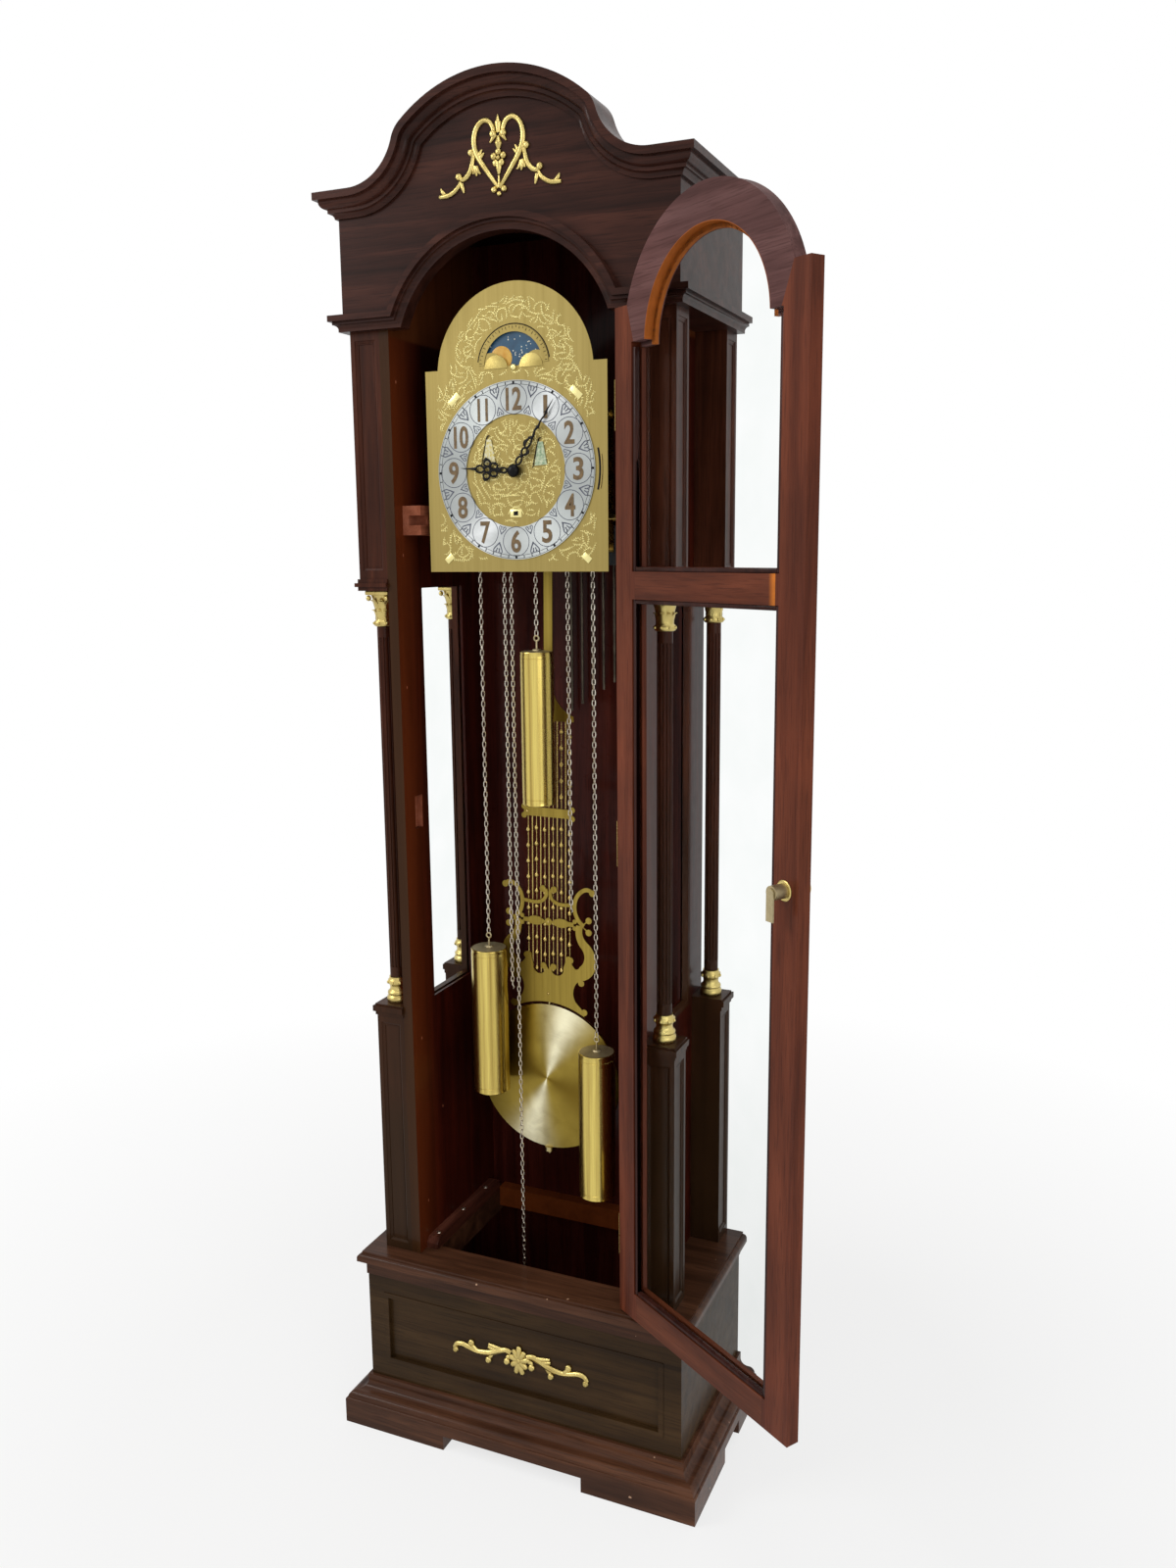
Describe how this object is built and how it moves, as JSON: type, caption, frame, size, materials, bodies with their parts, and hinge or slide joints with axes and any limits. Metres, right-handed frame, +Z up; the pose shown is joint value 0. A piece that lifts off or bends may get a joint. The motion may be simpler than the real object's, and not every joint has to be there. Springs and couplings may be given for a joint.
{
  "type": "mora clock",
  "caption": "Tall arched-hood longcase clock with corner turrets, glazed door standing open, moon dial, chain-driven brass weights and a lyre pendulum.",
  "frame": {"origin": "on the floor under the middle of the case", "axes": "+Z up, front of the clock towards -Y, +X to the right seen from the front"},
  "size_m": [0.7869, 0.4975, 2.0189],
  "materials": {
    "mahogany": "satin lacquer",
    "red_wood": "satin lacquer",
    "raw_wood": "matt",
    "polished_brass": "polished",
    "brushed_brass": "brushed",
    "silvered": "brushed",
    "blued_steel": "satin black",
    "steel": "bright",
    "iron": "painted black",
    "blue_enamel": "satin",
    "clear_glass": "clear"
  },
  "bodies": {
    "case": {"base_carcass": "mahogany", "base_front_panel": "mahogany", "base_skirt": "mahogany", "base_feet": "mahogany", "base_cap": "mahogany", "base_applique": "polished_brass", "floor_cleats": "raw_wood", "back_board": "red_wood", "wall_left": "red_wood", "wall_right": "red_wood", "side_glass": "clear_glass", "window_beads": "mahogany", "turret_pedestals": "mahogany", "turret_columns": "mahogany", "turret_posts": "mahogany", "column_mounts": "polished_brass", "frieze_board": "mahogany", "arch_moulding": "mahogany", "crown_moulding": "mahogany", "hood_sides": "mahogany", "roof_board": "red_wood", "frieze_applique": "polished_brass", "hinge_case_leaves": "polished_brass", "dial_plate": "brushed_brass", "chapter_ring": "silvered", "movement_frame": "brushed_brass", "seat_blocks": "raw_wood", "seat_rods": "steel", "chime_block": "iron", "chime_rods": "brushed_brass"},
    "door": {"door_hinge_stile": "red_wood", "door_lock_stile": "red_wood", "door_arch_head": "red_wood", "door_mid_rail": "red_wood", "door_bottom_rail": "red_wood", "door_glass_upper": "clear_glass", "door_glass_lower": "clear_glass", "hinge_door_leaves": "polished_brass", "lock_barrel": "polished_brass"},
    "lock": {"lock_cam": "steel", "door_knob": "polished_brass"},
    "hour": {"hour_hand": "blued_steel"},
    "minute": {"minute_hand": "blued_steel"},
    "moon": {"moon_disc": "blue_enamel"},
    "pendulum": {"pendulum_leader": "brushed_brass", "pendulum_lyre": "polished_brass", "pendulum_rods": "polished_brass", "pendulum_bob": "polished_brass"},
    "sprocket_left": {"sprocket_left": "brushed_brass"},
    "weight_left": {"weight_left": "polished_brass", "weight_chain_left": "steel"},
    "free_left": {"free_chain_left": "steel"},
    "sprocket_centre": {"sprocket_centre": "brushed_brass"},
    "weight_centre": {"weight_centre": "polished_brass", "weight_chain_centre": "steel"},
    "free_centre": {"free_chain_centre": "steel"},
    "sprocket_right": {"sprocket_right": "brushed_brass"},
    "weight_right": {"weight_right": "polished_brass", "weight_chain_right": "steel"},
    "free_right": {"free_chain_right": "steel"}
  },
  "joints": [
    {"name": "door_hinge", "type": "hinge", "parent": "case", "child": "door", "pos_m": [0.1825, -0.1075, 1], "axis": [0, 0, 1], "range_deg": [-147, 3]},
    {"name": "lock_turn", "type": "hinge", "parent": "door", "child": "lock", "pos_m": [0.46765, -0.29268, 1.011], "axis": [-0.5446, -0.8387, 0], "range_deg": [0, 90]},
    {"name": "pendulum_swing", "type": "hinge", "parent": "case", "child": "pendulum", "pos_m": [0, 0.03, 1.58], "axis": [0, 1, 0], "range_deg": [-3.75, 2.25]},
    {"name": "minute_turn", "type": "hinge", "parent": "case", "child": "minute", "pos_m": [0, -0.086, 1.513], "axis": [0, 1, 0], "continuous": true},
    {"name": "hour_turn", "type": "hinge", "parent": "case", "child": "hour", "pos_m": [0, -0.083, 1.513], "axis": [0, 1, 0], "continuous": true},
    {"name": "moon_turn", "type": "hinge", "parent": "case", "child": "moon", "pos_m": [0, -0.076, 1.654], "axis": [0, 1, 0], "continuous": true},
    {"name": "weight_left_slide", "type": "slide", "parent": "case", "child": "weight_left", "axis": [0, 0, 1], "range_m": [-0.44, 0.48], "deforming": ["weight_chain_left"]},
    {"name": "free_left_slide", "type": "slide", "parent": "case", "child": "free_left", "axis": [0, 0, 1], "range_m": [-0.48, 0.44], "deforming": ["free_chain_left"]},
    {"name": "sprocket_left_turn", "type": "hinge", "parent": "case", "child": "sprocket_left", "pos_m": [-0.071, -0.02, 1.45], "axis": [0, 1, 0], "range_deg": [-1265.5, 1380.1]},
    {"name": "weight_centre_slide", "type": "slide", "parent": "case", "child": "weight_centre", "axis": [0, 0, 1], "range_m": [-0.9, 0.06], "deforming": ["weight_chain_centre"]},
    {"name": "free_centre_slide", "type": "slide", "parent": "case", "child": "free_centre", "axis": [0, 0, 1], "range_m": [-0.06, 0.9], "deforming": ["free_chain_centre"]},
    {"name": "sprocket_centre_turn", "type": "hinge", "parent": "case", "child": "sprocket_centre", "pos_m": [-0.02, -0.02, 1.45], "axis": [0, 1, 0], "range_deg": [-176.9, 2583.3]},
    {"name": "weight_right_slide", "type": "slide", "parent": "case", "child": "weight_right", "axis": [0, 0, 1], "range_m": [-0.29, 0.58], "deforming": ["weight_chain_right"]},
    {"name": "free_right_slide", "type": "slide", "parent": "case", "child": "free_right", "axis": [0, 0, 1], "range_m": [-0.58, 0.29], "deforming": ["free_chain_right"]},
    {"name": "sprocket_right_turn", "type": "hinge", "parent": "case", "child": "sprocket_right", "pos_m": [0.071, -0.02, 1.45], "axis": [0, 1, 0], "range_deg": [-1666.6, 835.8]}
  ],
  "couplings": [
    {"joint": "hour_turn", "follows": "minute_turn", "ratio": 0.083333},
    {"joint": "moon_turn", "follows": "minute_turn", "ratio": 0.0007055},
    {"joint": "free_left_slide", "follows": "weight_left_slide", "ratio": -1},
    {"joint": "sprocket_left_turn", "follows": "weight_left_slide", "rad_per_m": 50},
    {"joint": "free_centre_slide", "follows": "weight_centre_slide", "ratio": -1},
    {"joint": "sprocket_centre_turn", "follows": "weight_centre_slide", "rad_per_m": -50},
    {"joint": "free_right_slide", "follows": "weight_right_slide", "ratio": -1},
    {"joint": "sprocket_right_turn", "follows": "weight_right_slide", "rad_per_m": -50}
  ]
}
